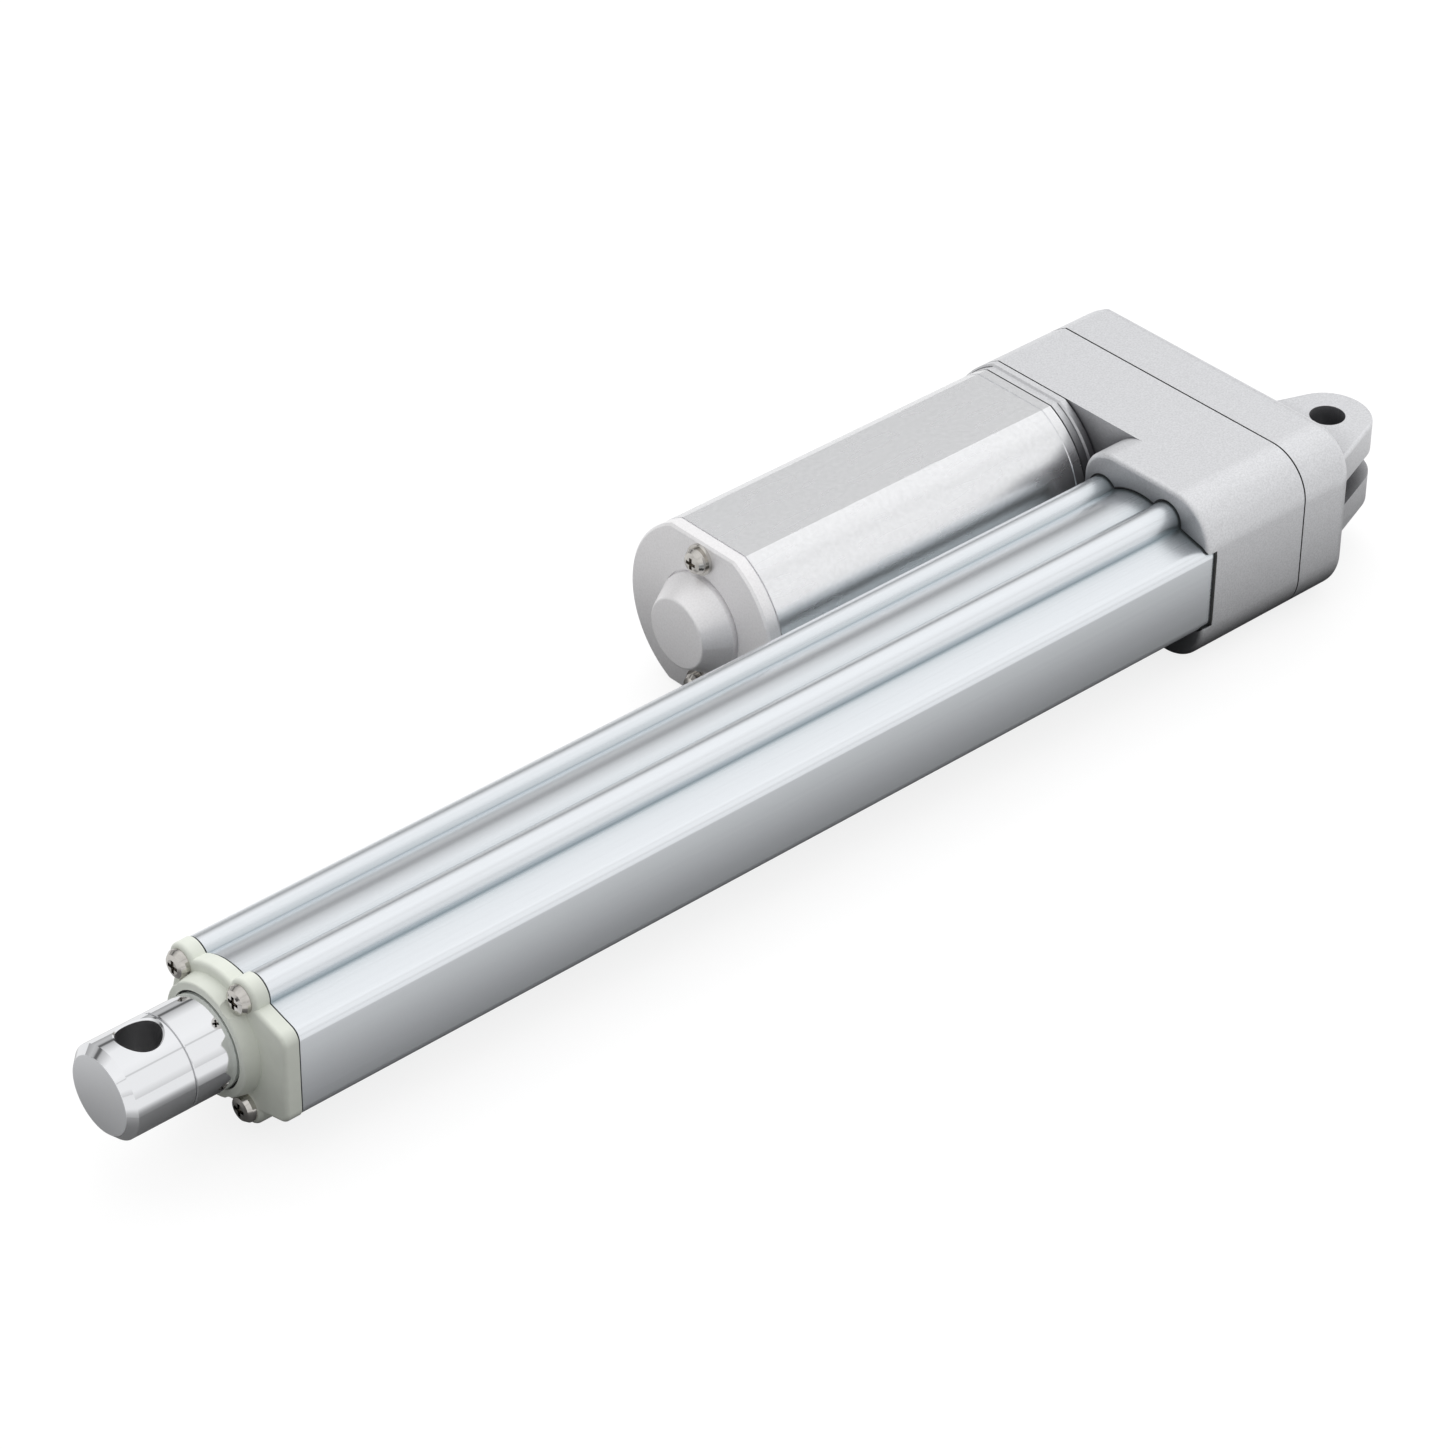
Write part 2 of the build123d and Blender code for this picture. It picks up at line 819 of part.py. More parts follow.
def magnet_bar():
    """The magnet's place: along Y in the end of the nut's key."""
    x = nut_back + key_setback + key_length / 2
    y = key_reach - nut_magnet_length / 2
    return Pos(x, y, 0) * Rot(90, 0, 0) * Cylinder(nut_magnet_radius, nut_magnet_length)


# Spindle
def make_lead_screw():
    rear_end = cavity_back + free_gap
    return turned(
        [
            (rear_end, 0),
            (rear_end, rear_journal_radius),
            (circlip_back() - circlip_land, rear_journal_radius),
            (circlip_back() - circlip_land, journal_radius),
            (circlip_back(), journal_radius),
            (circlip_back(), journal_radius - circlip_depth),
            (spindle_gear_back, journal_radius - circlip_depth),
            (spindle_gear_back, journal_radius),
            (bearing_front, journal_radius),
            (bearing_front, spindle_radius),
            (spindle_front - 1.0, spindle_radius),
            (spindle_front, spindle_radius - 1.0),
            (spindle_front, stop_screw_radius),
            (spindle_front - stop_screw_length, stop_screw_radius),
            (spindle_front - stop_screw_length, 0),
        ]
    )


def circlip_back():
    return spindle_gear_back - circlip_thickness


def make_spindle_circlip():
    return tube_ring(
        journal_radius + circlip_reach,
        journal_radius - circlip_depth,
        circlip_back(),
        spindle_gear_back,
    )


def make_spindle_gear():
    """The driven gear, with a hub that runs up to the bearing's inner race."""
    teeth = gear_sketch(spindle_gear_teeth, 180.0 / spindle_gear_teeth)
    body = prism(teeth, spindle_gear_back, spindle_gear_front)
    body = lighten(
        body, spindle_gear_teeth, spindle_hub_radius, spindle_gear_back, spindle_gear_front, 0.0
    )
    body += round_bar(spindle_hub_radius, spindle_gear_front, bearing_back)
    return body - round_bar(journal_radius, spindle_gear_back, bearing_back)


def race_groove():
    """A ring that cuts the ball track into both races."""
    middle = (bearing_back + bearing_front) / 2
    track = Pos(middle, ball_pitch_radius) * Circle(ball_radius + ball_gap)
    return revolve(track, Axis.X, 360)


def make_bearing_outer_race():
    body = tube_ring(
        ball_bearing_radius, ball_pitch_radius + race_land_radius, bearing_back, bearing_front
    )
    return body - race_groove()


def make_bearing_inner_race():
    body = tube_ring(
        ball_pitch_radius - race_land_radius, journal_radius, bearing_back, bearing_front
    )
    return body - race_groove()


def ball_places():
    middle = (bearing_back + bearing_front) / 2
    step = 360.0 / ball_count
    return [(middle, *at_angle(ball_pitch_radius, step * k)) for k in range(ball_count)]


def make_bearing_balls():
    return [Pos(*place) * Sphere(ball_radius) for place in ball_places()]


def make_bearing_cage():
    middle = (bearing_back + bearing_front) / 2
    body = tube_ring(
        ball_pitch_radius + cage_half_thickness,
        ball_pitch_radius - cage_half_thickness,
        middle - cage_length / 2,
        middle + cage_length / 2,
    )
    for place in ball_places():
        body -= Pos(*place) * Sphere(ball_radius + ball_gap)
    return body


def make_bearing_circlip():
    return tube_ring(
        ball_bearing_radius + circlip_depth,
        ball_bearing_radius - circlip_reach,
        bearing_back - circlip_thickness,
        bearing_back,
    )


def make_rear_bush():
    return tube_ring(
        rear_bush_radius,
        rear_journal_radius + running_gap,
        cavity_back,
        cavity_back + rear_bush_length,
    )


def make_stop_disc():
    front = stop_disc_back + stop_disc_thickness
    return tube_ring(
        rod_inner_radius - free_gap, stop_screw_radius, stop_disc_back, front
    )


def make_stop_screw():
    return pan_screw(
        stop_disc_back + stop_disc_thickness,
        stop_screw_head_radius,
        stop_screw_head_height,
        stop_screw_radius,
        stop_disc_thickness + stop_screw_length,
        0.0,
        0.0,
    )


# Idler and motor pinion
def idler_gear_back():
    return spindle_gear_back


def idler_washer_back():
    return idler_gear_back() - washer_thickness


def idler_washer_front():
    return wheel_front + washer_thickness


def make_idler_wheel():
    body = prism(
        Pos(idler_y, 0) * gear_sketch(idler_wheel_teeth, 180.0 / idler_wheel_teeth),
        wheel_back,
        wheel_front,
    )
    body = lighten(body, idler_wheel_teeth, idler_hub_radius + 2.0, wheel_back, wheel_front, idler_y)
    return body - round_bar(idler_hub_radius, wheel_back, wheel_front, idler_y)


def make_idler_pinion():
    """The idler's small gear, whose hub is pressed into the idler wheel."""
    body = prism(
        Pos(idler_y, 0) * gear_sketch(idler_pinion_teeth), idler_gear_back(), spindle_gear_front
    )
    body += round_bar(idler_hub_radius, spindle_gear_front, wheel_front, idler_y)
    return body - round_bar(
        idler_axle_radius + running_gap, idler_gear_back(), wheel_front, idler_y
    )


def make_idler_axle():
    return round_bar(
        idler_axle_radius, cavity_back - axle_socket, wall_back + axle_socket, idler_y
    )


def make_idler_washers():
    inner = idler_axle_radius + running_gap
    return [
        tube_ring(washer_radius, inner, idler_washer_back(), idler_gear_back(), idler_y),
        tube_ring(washer_radius, inner, wheel_front, idler_washer_front(), idler_y),
    ]


def make_motor_pinion():
    back = wheel_back - pinion_extra / 2
    front = wheel_front + pinion_extra / 2
    body = prism(Pos(motor_y, 0) * gear_sketch(motor_pinion_teeth), back, front)
    return body - round_bar(motor_shaft_radius, back, front, motor_y)


# Motor
def motor_seam(x_from, width=motor_seam_width, depth=motor_seam_depth):
    """A narrow groove all round the motor, which shows as a dark line."""
    outside = motor_outline(case_end_radius, case_half_height)
    inside = motor_outline(motor_radius - depth, motor_half_flat - depth)
    return prism(outside - inside, x_from, x_from + width)


def flatted_disc(radius, half_flat, x_from, x_to, bevel):
    """A disc on the motor's axis with flats above and below and a bevelled front rim."""
    disc = turned(
        [(x_from, 0), (x_from, radius), (x_to - bevel, radius), (x_to, radius - bevel), (x_to, 0)],
        motor_y,
    )
    flats = [
        (x_from, -half_flat),
        (x_to - bevel, -half_flat),
        (x_to, bevel - half_flat),
        (x_to, half_flat - bevel),
        (x_to - bevel, half_flat),
        (x_from, half_flat),
    ]
    section = Plane.XZ.offset(-motor_y) * make_face(Polyline(*flats, close=True))
    return disc & extrude(section, radius, both=True)


def make_motor_flange():
    """Front end bell: a stepped plate with the bush housing as its spigot."""
    body = flatted_disc(
        case_end_radius,
        case_half_height,
        wall_front,
        wall_front + motor_flange_step,
        motor_flange_bevel,
    )
    body += prism(
        motor_outline(motor_radius, motor_half_flat), wall_front + motor_flange_step, flange_front
    )
    body -= motor_seam(wall_front) + motor_seam(flange_front - motor_seam_width)
    body += round_bar(motor_spigot_radius, wall_back, wall_front, motor_y)
    body -= round_bar(motor_bush_radius, flange_front - motor_bush_length, flange_front, motor_y)
    body -= round_bar(motor_shaft_radius + free_gap, wall_back, flange_front, motor_y)
    for y, z in mount_screw_places:
        body -= round_bar(motor_bolt_radius, wall_front, flange_front, y, z)
    for y, z in motor_bolt_places:
        body -= round_bar(motor_bolt_radius, wall_front + motor_flange_step, flange_front, y, z)
    return body


def make_motor_can():
    section = motor_outline(motor_radius, motor_half_flat)
    section -= motor_outline(motor_inner_radius, motor_half_flat - motor_wall)
    bead = motor_seam(flange_front + can_bead_setback, motor_seam_width, can_bead_depth)
    return prism(section, flange_front, can_front) - bead


def make_motor_end_cap():
    """Rear end cap with the cone-shaped bush housing in its middle."""
    plate = flatted_disc(
        motor_radius, motor_half_flat, can_front, motor_cap_front, motor_cap_bevel
    )
    cone = turned(
        [
            (motor_cap_front - motor_cap_bevel, 0),
            (motor_cap_front - motor_cap_bevel, motor_boss_base_radius),
            (motor_cap_front + motor_boss_rim, motor_boss_base_radius),
            (motor_boss_front, motor_boss_front_radius),
            (motor_boss_front, 0),
        ],
        motor_y,
    )
    cone = fillet(cone.edges().group_by(Axis.X)[-1], motor_boss_edge_radius)
    groove = tube_ring(
        motor_boss_base_radius + motor_boss_groove_width,
        motor_boss_base_radius,
        motor_cap_front - motor_boss_groove_depth,
        motor_cap_front,
        motor_y,
    )
    body = plate + cone - groove - motor_seam(can_front)
    body -= round_bar(motor_bush_radius, can_front, rear_motor_bush_front(), motor_y)
    for y, z in motor_bolt_places:
        body -= round_bar(motor_bolt_radius + running_gap, can_front, motor_cap_front, y, z)
    return body


def rear_motor_bush_front():
    return motor_boss_front - motor_boss_front_wall


def make_motor_bushes():
    inner = motor_shaft_radius + running_gap
    front_one = tube_ring(
        motor_bush_radius, inner, flange_front - motor_bush_length, flange_front, motor_y
    )
    rear_front = rear_motor_bush_front()
    rear_one = tube_ring(
        motor_bush_radius, inner, rear_front - motor_bush_length, rear_front, motor_y
    )
    return [front_one, rear_one]


def make_motor_bolts():
    """Long bolts that hold the end cap, the can and the flange together."""
    back = wall_front + motor_flange_step
    seat = motor_cap_front + motor_washer_thickness
    return [
        pan_screw(
            seat, motor_bolt_head_radius, motor_bolt_head_height, motor_bolt_radius, seat - back, y, z
        )
        for y, z in motor_bolt_places
    ]


def make_motor_bolt_washers():
    return [
        tube_ring(
            motor_washer_radius,
            motor_bolt_radius + running_gap,
            motor_cap_front,
            motor_cap_front + motor_washer_thickness,
            y,
            z,
        )
        for y, z in motor_bolt_places
    ]


def make_motor_mount_screws():
    return [
        pan_screw(
            wall_back,
            case_screw_head_radius,
            case_screw_head_height,
            motor_bolt_radius,
            mount_screw_length,
            y,
            z,
            towards=-1,
        )
        for y, z in mount_screw_places
    ]


def armature_back():
    return flange_front + armature_setback


def armature_front():
    return armature_back() + armature_length


def make_motor_magnets():
    """Two arc magnets against the round sides of the can."""
    middle = (armature_back() + armature_front()) / 2
    ring = Circle(motor_inner_radius) - Circle(magnet_inner_radius)
    reach = 2 * motor_radius
    rise = reach * math.tan(math.radians(magnet_half_angle))
    wedge = Polygon((0, 0), (reach, -rise), (reach, rise), align=None)
    arc = Pos(motor_y, 0) * (ring & wedge)
    other = Pos(motor_y, 0) * (ring & Rot(0, 0, 180) * wedge)
    return [
        prism(piece, middle - magnet_length / 2, middle + magnet_length / 2)
        for piece in (arc, other)
    ]


def slot_sketch(radius, depth, width):
    """Round-bottomed slots cut inwards from a radius."""
    cut = Pos(radius - depth / 2 + width, 0) * Rectangle(depth + width, width)
    cut += Pos(radius - depth + width / 2, 0) * Circle(width / 2)
    return spread(cut, 0, armature_slots)


def make_armature_core():
    section = Circle(armature_radius) - slot_sketch(armature_radius, slot_depth, slot_width)
    section -= Circle(motor_shaft_radius)
    return prism(Pos(motor_y, 0) * section, armature_back(), armature_front())


def make_armature_windings():
    """Copper in the slots, joined by a rounded ring of end turns at each side of the core."""
    core = Circle(armature_radius) - slot_sketch(armature_radius, slot_depth, slot_width)
    filling = Circle(winding_radius) - Circle(armature_radius - slot_depth) - core
    body = prism(Pos(motor_y, 0) * filling, armature_back(), armature_front())
    for face, towards in ((armature_back(), -1), (armature_front(), 1)):
        far = face + towards * winding_overhang
        inner = motor_shaft_radius + winding_shaft_gap
        end_turns = turned(
            [
                (face, inner),
                (face, winding_radius),
                (face + towards * winding_overhang * winding_straight_share, winding_radius),
                (far, winding_radius - winding_taper),
                (far, inner),
            ],
            motor_y,
        )
        body += end_turns
    return body


def commutator_back():
    return armature_front() + winding_overhang + 2.0


def commutator_front():
    return commutator_back() + commutator_length


def make_commutator():
    section = Circle(commutator_radius) - Circle(motor_shaft_radius)
    section -= spread(Rectangle(2 * bar_gap_depth, bar_gap_width), commutator_radius, armature_slots)
    return prism(Pos(motor_y, 0) * section, commutator_back(), commutator_front())


def make_motor_shaft():
    back = wheel_back - pinion_extra / 2
    front = rear_motor_bush_front() - free_gap
    return round_bar(motor_shaft_radius, back, front, motor_y)


def brush_start():
    return commutator_radius + running_gap


def make_brushes():
    """Two carbon brushes that ride on the commutator from both sides."""
    middle = (commutator_back() + commutator_front()) / 2
    y = brush_start() + brush_length / 2
    return [
        Pos(middle, motor_y + side * y, 0) * Box(brush_width, brush_length, brush_width)
        for side in (1, -1)
    ]


def make_brush_springs():
    middle = (commutator_back() + commutator_front()) / 2
    y = brush_start() + brush_length + brush_spring_length / 2
    spring = Cylinder(brush_spring_radius, brush_spring_length) - Cylinder(
        brush_spring_radius - 0.5, brush_spring_length
    )
    return [Pos(middle, motor_y + side * y, 0) * Rot(90, 0, 0) * spring for side in (1, -1)]


def make_brush_holder():
    """A round plate with one box guide for each brush and its spring."""
    plate_back_x = commutator_front() + 0.5
    plate = motor_outline(motor_inner_radius, motor_half_flat - motor_wall)
    plate -= Pos(motor_y, 0) * Circle(motor_shaft_radius + brush_plate_gap)
    for y, z in motor_bolt_places:
        plate -= Pos(y, z) * Circle(motor_bolt_radius + free_gap)
    body = prism(plate, plate_back_x, plate_back_x + brush_plate_thickness)
    middle = (commutator_back() + commutator_front()) / 2
    inner = brush_start() + 1.0
    outer = brush_start() + brush_length + brush_spring_length
    depth = 2 * (plate_back_x - middle)
    for side in (1, -1):
        block = Box(depth, outer - inner + brush_guide_wall, brush_width + 2 * brush_guide_wall)
        hole = Box(brush_width, outer - inner, brush_width)
        shift = Pos(middle, motor_y + side * (inner + outer + brush_guide_wall) / 2, 0)
        body += shift * block
        body -= Pos(middle, motor_y + side * (inner + outer) / 2, 0) * hole
    return body


# Travel sensing
def board_face():
    return channel_side - channel_wall


def make_sensor_board():
    length = tube_front - tube_back - 2 * board_end_margin
    middle = (tube_front + tube_back) / 2
    y = board_face() - board_thickness / 2
    return Pos(middle, y, 0) * Box(length, board_thickness, 2 * board_half_height)


def make_end_sensors():
    """Two reed switches on the board, one at each end of the magnet's travel."""
    x = nut_back + key_setback + key_length / 2
    y = board_face() - board_thickness - sensor_radius
    bar = Rot(0, 90, 0) * Cylinder(sensor_radius, sensor_length)
    z = key_half_height - sensor_radius
    return [Pos(x, y, z) * bar, Pos(x + stroke, y, z) * bar]


pieces = {
    "gearbox_housing": make_gearbox_housing,
    "gearbox_cover": make_gearbox_cover,
    "gearbox_gasket": make_case_gasket,
    "gearbox_cover_screws": make_cover_screws,
    "cable_grommet": make_cable_grommet,
    "outer_tube": make_outer_tube,
    "tube_gasket": make_tube_gasket,
    "tube_screws": make_tube_screws,
    "cap_gasket": make_cap_gasket,
    "front_cap": make_front_cap,
    "front_cap_screws": make_cap_screws,
    "rod_guide_bush": make_rod_guide_bush,
    "rod_wiper": make_rod_wiper,
    "rod_tube": make_rod_tube,
    "rod_end": make_rod_end,
    "drive_nut": make_drive_nut,
    "nut_magnet": magnet_bar,
    "lead_screw": make_lead_screw,
    "spindle_gear": make_spindle_gear,
    "spindle_circlip": make_spindle_circlip,
    "spindle_end_disc": make_stop_disc,
    "spindle_end_screw": make_stop_screw,
    "bearing_inner_race": make_bearing_inner_race,
    "bearing_outer_race": make_bearing_outer_race,
    "bearing_balls": make_bearing_balls,
    "bearing_cage": make_bearing_cage,
    "bearing_circlip": make_bearing_circlip,
    "spindle_rear_bush": make_rear_bush,
    "idler_wheel": make_idler_wheel,
    "idler_pinion": make_idler_pinion,
    "idler_axle": make_idler_axle,
    "idler_washers": make_idler_washers,
    "motor_pinion": make_motor_pinion,
    "motor_shaft": make_motor_shaft,
    "armature_core": make_armature_core,
    "armature_windings": make_armature_windings,
    "commutator": make_commutator,
    "motor_flange": make_motor_flange,
    "motor_can": make_motor_can,
    "motor_end_cap": make_motor_end_cap,
    "motor_bushes": make_motor_bushes,
    "motor_bolts": make_motor_bolts,
    "motor_bolt_washers": make_motor_bolt_washers,
    "motor_mount_screws": make_motor_mount_screws,
    "motor_magnets": make_motor_magnets,
    "brush_holder": make_brush_holder,
    "brushes": make_brushes,
    "brush_springs": make_brush_springs,
    "sensor_board": make_sensor_board,
    "end_sensors": make_end_sensors,
}


def solids_of(shape):
    """All the solids of one shape or of a list of shapes."""
    shapes = shape if isinstance(shape, list) else [shape]
    return [solid for piece in shapes for solid in piece.solids()]


os.makedirs("parts", exist_ok=True)
for name, make in pieces.items():
    found = solids_of(make())
    shape = found[0] if len(found) == 1 else Compound(found)
    export_step(shape, f"parts/{name}.step")
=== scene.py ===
import bpy
import json
import math
from mathutils import Matrix, Vector


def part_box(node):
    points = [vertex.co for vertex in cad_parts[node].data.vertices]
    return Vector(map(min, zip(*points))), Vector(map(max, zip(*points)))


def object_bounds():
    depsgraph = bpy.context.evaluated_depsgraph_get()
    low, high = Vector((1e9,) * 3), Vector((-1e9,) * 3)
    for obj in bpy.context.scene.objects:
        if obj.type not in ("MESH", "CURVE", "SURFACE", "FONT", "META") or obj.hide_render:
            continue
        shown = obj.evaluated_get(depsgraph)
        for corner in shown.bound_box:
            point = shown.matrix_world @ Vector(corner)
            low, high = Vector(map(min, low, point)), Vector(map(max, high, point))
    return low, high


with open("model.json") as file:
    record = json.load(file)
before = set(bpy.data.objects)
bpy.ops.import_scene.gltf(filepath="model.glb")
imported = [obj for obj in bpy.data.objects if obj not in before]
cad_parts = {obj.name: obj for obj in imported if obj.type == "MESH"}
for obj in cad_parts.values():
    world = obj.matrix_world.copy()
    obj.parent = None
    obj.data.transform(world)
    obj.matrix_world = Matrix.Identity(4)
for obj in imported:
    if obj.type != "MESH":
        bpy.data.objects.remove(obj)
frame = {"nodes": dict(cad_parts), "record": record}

cad_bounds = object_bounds()
nodes = frame["nodes"]

# Sizes are in metres. X runs along the rod, Z up, and the motor lies towards -Y.
# The cross hole in the rod's end
PIN_HOLE_RADIUS = 0.0045
PIN_HOLE_SETBACK = 0.0097

WHITE = (1.0, 1.0, 1.0, 1.0)
CHROME = (0.86, 0.87, 0.89)
CHROME_ROUGHNESS = 0.05


# Camera
def make_camera():
    """The photograph's viewpoint: place, direction and lens were solved from the object's edges."""
    place = Vector((0.758976, 0.634710, 0.626242))
    right = Vector((-0.74259252, 0.66967025, 0.00990424))
    up = Vector((-0.38358829, -0.43738765, 0.81335851))
    data = bpy.data.cameras.new("camera")
    data.sensor_width = 36.0
    data.lens = 130.68
    data.clip_start = 0.05
    data.clip_end = 20.0
    camera = bpy.data.objects.new("camera", data)
    bpy.context.collection.objects.link(camera)
    turn = Matrix((right, up, right.cross(up))).transposed()
    camera.matrix_world = Matrix.Translation(place) @ turn.to_4x4()
    bpy.context.scene.camera = camera


# Shader helpers
def choose(tree, factor, low, high, data_type="FLOAT"):
    """Mixes from low to high by a factor; each is a value or another node's output."""
    mix = tree.nodes.new("ShaderNodeMix")
    mix.data_type = data_type
    mix.clamp_factor = True
    tree.links.new(factor, mix.inputs["Factor"])
    sockets = [socket for socket in mix.inputs if socket.name in "AB" and socket.enabled]
    for socket, given in zip(sockets, (low, high)):
        if isinstance(given, bpy.types.NodeSocket):
            tree.links.new(given, socket)
        else:
            socket.default_value = given
    return next(socket for socket in mix.outputs if socket.enabled)


class Surface:
    """A principled material whose colour, roughness and relief come from procedural nodes."""

    def __init__(self, name, colour, metallic, roughness):
        self.material = bpy.data.materials.new(name)
        self.material.use_nodes = True
        self.tree = self.material.node_tree
        self.shader = self.tree.nodes["Principled BSDF"]
        self.coordinates = self.node("ShaderNodeTexCoord").outputs["Object"]
        self.colour = colour
        self.roughness = roughness
        self.set("Base Color", (*colour, 1.0))
        self.set("Metallic", metallic)
        self.set("Roughness", roughness)

    def set(self, socket, value):
        self.shader.inputs[socket].default_value = value

    def node(self, kind, **values):
        made = self.tree.nodes.new(kind)
        for name, value in values.items():
            setattr(made, name, value)
        return made

    def link(self, output, into):
        self.tree.links.new(output, into)

    def stretched(self, scale):
        """Object coordinates times a scale for each axis."""
        mapping = self.node("ShaderNodeMapping")
        mapping.inputs["Scale"].default_value = scale
        self.link(self.coordinates, mapping.inputs["Vector"])
        return mapping.outputs["Vector"]

    def noise(self, scale, detail=2.0):
        """Noise with features of about 1 over the scale, which may differ along X, Y and Z."""
        texture = self.node("ShaderNodeTexNoise")
        texture.inputs["Scale"].default_value = 1.0
        texture.inputs["Detail"].default_value = detail
        self.link(self.stretched(scale), texture.inputs["Vector"])
        return texture.outputs["Fac"]

    def fit(self, value, low, high, from_low=0.3, from_high=0.7):
        """A value mapped from one range to another."""
        ranged = self.node("ShaderNodeMapRange")
        self.link(value, ranged.inputs["Value"])
        for name, number in zip(
            ("From Min", "From Max", "To Min", "To Max"), (from_low, from_high, low, high)
        ):
            ranged.inputs[name].default_value = number
        return ranged.outputs["Result"]

    def vary_colour(self, value, amount):
        """Makes the colour a little darker and lighter with a noise value."""
        mix = self.node("ShaderNodeMix", data_type="RGBA")
        self.link(self.fit(value, 0.0, 1.0), mix.inputs["Factor"])
        low = [channel * (1.0 - amount) for channel in self.colour]
        high = [min(1.0, channel * (1.0 + amount)) for channel in self.colour]
        mix.inputs["A"].default_value = (*low, 1.0)
        mix.inputs["B"].default_value = (*high, 1.0)
        self.link(mix.outputs["Result"], self.shader.inputs["Base Color"])

    def vary_roughness(self, value, amount):
        """Makes the surface a little smoother and rougher with a noise value."""
        low = max(0.02, self.roughness - amount)
        self.link(self.fit(value, low, self.roughness + amount), self.shader.inputs["Roughness"])

    def finish_where(self, mask, colour, roughness):
        """Another colour and roughness where a mask is 1, over what the shader has so far."""
        changes = (
            ("Base Color", (*colour, 1.0), "RGBA"),
            ("Roughness", roughness, "FLOAT"),
        )
        for name, value, kind in changes:
            socket = self.shader.inputs[name]
            before = socket.links[0].from_socket if socket.is_linked else socket.default_value
            self.link(choose(self.tree, mask, before, value, kind), socket)

    def paint_shade_in_hollows(self, reach, closed, opened, colour, roughness):
        """Painted shade: another colour and roughness where the surface is shut in, seen over a
        reach in metres.
        """
        hollow = self.node("ShaderNodeAmbientOcclusion", samples=8)
        hollow.inputs["Distance"].default_value = reach
        # How shut in the surface is, as the factor for the painted shade
        depth = self.fit(hollow.outputs["AO"], 1.0, 0.0, closed, opened)
        self.finish_where(depth, colour, roughness)

    def relief(self, value, depth, strength=1.0):
        """Relief of a depth in metres."""
        bump = self.node("ShaderNodeBump")
        bump.inputs["Strength"].default_value = strength
        bump.inputs["Distance"].default_value = depth
        self.link(value, bump.inputs["Height"])
        self.link(bump.outputs["Normal"], self.shader.inputs["Normal"])


def even(scale):
    """The same scale along all three axes."""
    return (scale, scale, scale)


# Materials
def cast_paint():
    """Metallic paint on cast metal: a fine sparkle, a pebbled skin and painted shade in its
    corners.
    """
    surface = Surface("cast_paint", (0.76, 0.765, 0.785), 0.55, 0.38)
    surface.vary_colour(surface.noise(even(2600.0), 3.0), 0.10)
    surface.vary_roughness(surface.noise(even(900.0)), 0.05)
    # Painted shade: near-black in the corners and hollows, where light reaches less
    surface.paint_shade_in_hollows(0.014, 0.42, 0.97, (0.13, 0.13, 0.14), 0.5)
    surface.relief(surface.noise(even(1500.0), 3.0), 0.000025, 0.6)
    return surface.material


def can_paint():
    """Smooth, more metallic silver on the motor's can."""
    surface = Surface("can_paint", (0.89, 0.895, 0.91), 0.90, 0.27)
    surface.vary_colour(surface.noise(even(900.0)), 0.03)
    surface.vary_roughness(surface.noise((60.0, 300.0, 300.0)), 0.01)
    return surface.material


def end_cap_paint():
    """Plainer, warmer silver grey on the motor's end cap."""
    surface = Surface("end_cap_paint", (0.95, 0.94, 0.95), 0.40, 0.40)
    surface.vary_colour(surface.noise(even(2600.0), 3.0), 0.05)
    surface.vary_roughness(surface.noise(even(900.0)), 0.04)
    surface.relief(surface.noise(even(1700.0), 3.0), 0.000015, 0.5)
    return surface.material


def anodised():
    """Satin anodised extrusion: faint drawing lines along its length, and painted shade in its
    valleys.
    """
    surface = Surface("anodised_aluminium", (0.86, 0.89, 0.925), 0.95, 0.25)
    lines = surface.noise((4.0, 1600.0, 1600.0), 4.0)
    surface.vary_colour(lines, 0.015)
    surface.vary_roughness(lines, 0.012)
    # Painted shade: a darker, bluer grey in the valleys between the bars
    surface.paint_shade_in_hollows(0.010, 0.55, 0.98, (0.49, 0.55, 0.58), 0.30)
    surface.relief(lines, 0.000001, 0.2)
    return surface.material


def chrome():
    """Hard chrome on the rod's tube, with faint polishing marks round it."""
    surface = Surface("hard_chrome", CHROME, 1.0, CHROME_ROUGHNESS)
    surface.vary_roughness(surface.noise((900.0, 60.0, 60.0)), 0.02)
    return surface.material


def rod_end_chrome():
    """Chrome like the rod's; the turned front face is matt, the cross hole and groove are dull."""
    surface = Surface("rod_end_chrome", CHROME, 1.0, CHROME_ROUGHNESS)
    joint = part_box("rod_tube")[1][0]
    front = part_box("rod_end")[1][0]
    edge = PIN_HOLE_RADIUS + 0.00002
    split = surface.node("ShaderNodeSeparateXYZ")
    surface.link(surface.coordinates, split.inputs["Vector"])
    on_face = surface.fit(split.outputs["X"], 0.0, 1.0, front - 0.00012, front - 0.00004)
    in_groove = surface.fit(split.outputs["X"], 1.0, 0.0, joint + 0.00040, joint + 0.00046)
    from_hole = surface.node("ShaderNodeVectorMath", operation="MULTIPLY_ADD")
    surface.link(surface.coordinates, from_hole.inputs[0])
    from_hole.inputs[1].default_value = (1.0, 1.0, 0.0)
    from_hole.inputs[2].default_value = (PIN_HOLE_SETBACK - front, 0.0, 0.0)
    radius = surface.node("ShaderNodeVectorMath", operation="LENGTH")
    surface.link(from_hole.outputs["Vector"], radius.inputs[0])
    in_hole = surface.fit(radius.outputs["Value"], 1.0, 0.0, edge, edge + 0.00006)
    dull = surface.node("ShaderNodeMath", operation="MAXIMUM")
    surface.link(in_groove, dull.inputs[0])
    surface.link(in_hole, dull.inputs[1])
    surface.finish_where(on_face, (0.82, 0.83, 0.85), 0.38)
    surface.finish_where(dull.outputs["Value"], (0.56, 0.56, 0.57), 0.35)
    return surface.material


